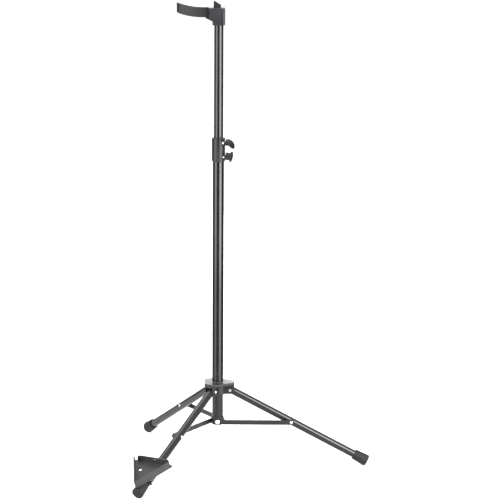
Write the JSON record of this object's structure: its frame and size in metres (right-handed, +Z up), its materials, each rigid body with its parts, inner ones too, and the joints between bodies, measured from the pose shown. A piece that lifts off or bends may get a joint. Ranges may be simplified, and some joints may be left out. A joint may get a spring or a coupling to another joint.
{
  "type": "saxophone stand",
  "caption": "Tall folding stand: tripod base with sliding hub and flat braces, telescoping centre tube with wing-screw clamp, side hook arm and a three-sided floor cradle.",
  "frame": {"origin": "on the floor, on the axis of the centre tube", "axes": "+Z up along the centre tube, +X along the right leg, +Y away from the viewer; the hook arm points to -X"},
  "size_m": [0.4846, 0.5575, 0.972],
  "materials": {
    "gloss_black_tube": "gloss",
    "black_strap": "satin",
    "black_sheet": "satin",
    "black_rubber": "matt",
    "soft_black_sleeve": "matt",
    "grey_nylon": "matt",
    "bright_rivet": "bright nickel",
    "plated_steel": "zinc plated",
    "dark_nut": "blackened",
    "black_plastic": "satin"
  },
  "bodies": {
    "mast": {"lower_tube": "gloss_black_tube", "bottom_spider": "black_plastic", "brace_pivot_rivets": "bright_rivet", "clamp_collar": "black_plastic", "clamp_bush": "grey_nylon", "clamp_pad": "grey_nylon", "thread_sleeves": "plated_steel"},
    "hub": {"leg_hub": "black_plastic", "hub_bush": "grey_nylon", "leg_pivot_rivets": "bright_rivet"},
    "right_leg": {"right_leg_knuckle": "black_plastic", "right_leg_tube": "gloss_black_tube", "right_foot": "black_rubber", "right_pin_spacer": "black_plastic", "right_leg_pin": "bright_rivet"},
    "left_leg": {"left_leg_knuckle": "black_plastic", "left_leg_tube": "gloss_black_tube", "left_foot": "black_rubber", "left_pin_spacer": "black_plastic", "left_leg_pin": "bright_rivet"},
    "front_leg": {"front_leg_knuckle": "black_plastic", "front_leg_tube": "gloss_black_tube", "front_foot": "black_rubber", "front_pin_spacer": "black_plastic", "front_leg_pin": "bright_rivet", "cradle_tray": "black_sheet", "cradle_saddle": "black_sheet", "cradle_rivets": "dark_nut", "saddle_bolt": "plated_steel", "saddle_washer": "plated_steel", "saddle_nut": "dark_nut"},
    "right_strut": {"right_brace": "black_strap", "right_brace_rivet": "bright_rivet"},
    "left_strut": {"left_brace": "black_strap", "left_brace_rivet": "bright_rivet"},
    "front_strut": {"front_brace": "black_strap", "front_brace_rivet": "bright_rivet"},
    "guide": {"guide_ring": "grey_nylon"},
    "upper": {"upper_tube": "gloss_black_tube", "upper_tube_plug": "black_plastic", "clip_ring": "plated_steel", "head_block": "black_plastic", "head_set_screw": "plated_steel", "hook_core": "plated_steel", "hook_sleeve": "soft_black_sleeve", "core_screws": "plated_steel"},
    "lower_wing": {"lower_wing_knob": "black_plastic", "lower_wing_shank": "plated_steel"},
    "upper_wing": {"upper_wing_knob": "black_plastic", "upper_wing_shank": "plated_steel"}
  },
  "joints": [
    {"name": "hub_slide", "type": "slide", "parent": "mast", "child": "hub", "axis": [0, 0, 1], "range_m": [0, 0.2287]},
    {"name": "right_leg_fold", "type": "hinge", "parent": "hub", "child": "right_leg", "pos_m": [0.026, 0, 0.1622], "axis": [0, 1, 0], "range_deg": [0, 62.05]},
    {"name": "right_brace_fold", "type": "hinge", "parent": "mast", "child": "right_strut", "pos_m": [0, -0.0119, 0.09428], "axis": [0, -1, 0], "range_deg": [0, 80.28]},
    {"name": "left_leg_fold", "type": "hinge", "parent": "hub", "child": "left_leg", "pos_m": [-0.013, 0.02252, 0.1622], "axis": [-0.866, -0.5, 0], "range_deg": [0, 62.05]},
    {"name": "left_brace_fold", "type": "hinge", "parent": "mast", "child": "left_strut", "pos_m": [0.01031, 0.00595, 0.09428], "axis": [0.866, 0.5, 0], "range_deg": [0, 80.28]},
    {"name": "front_leg_fold", "type": "hinge", "parent": "hub", "child": "front_leg", "pos_m": [-0.013, -0.02252, 0.1622], "axis": [0.866, -0.5, 0], "range_deg": [0, 62.05]},
    {"name": "front_brace_fold", "type": "hinge", "parent": "mast", "child": "front_strut", "pos_m": [-0.01031, 0.00595, 0.09428], "axis": [-0.866, 0.5, 0], "range_deg": [0, 80.28]},
    {"name": "height_slide", "type": "slide", "parent": "mast", "child": "guide", "axis": [0, 0, 1], "range_m": [-0.22, 0.28]},
    {"name": "head_swivel", "type": "hinge", "parent": "guide", "child": "upper", "pos_m": [0, 0, 0.36], "axis": [0, 0, 1], "continuous": true},
    {"name": "lower_wing_turn", "type": "hinge", "parent": "mast", "child": "lower_wing", "pos_m": [0, 0, 0.6524], "axis": [0.788, -0.6157, 0], "range_deg": [-90, 270]},
    {"name": "upper_wing_turn", "type": "hinge", "parent": "mast", "child": "upper_wing", "pos_m": [0, 0, 0.6816], "axis": [0.788, -0.6157, 0], "range_deg": [-90, 270]}
  ],
  "couplings": [
    {"joint": "right_leg_fold", "follows": "hub_slide", "rad_per_m": 4.735},
    {"joint": "right_brace_fold", "follows": "hub_slide", "rad_per_m": 6.126},
    {"joint": "left_leg_fold", "follows": "hub_slide", "rad_per_m": 4.735},
    {"joint": "left_brace_fold", "follows": "hub_slide", "rad_per_m": 6.126},
    {"joint": "front_leg_fold", "follows": "hub_slide", "rad_per_m": 4.735},
    {"joint": "front_brace_fold", "follows": "hub_slide", "rad_per_m": 6.126}
  ]
}
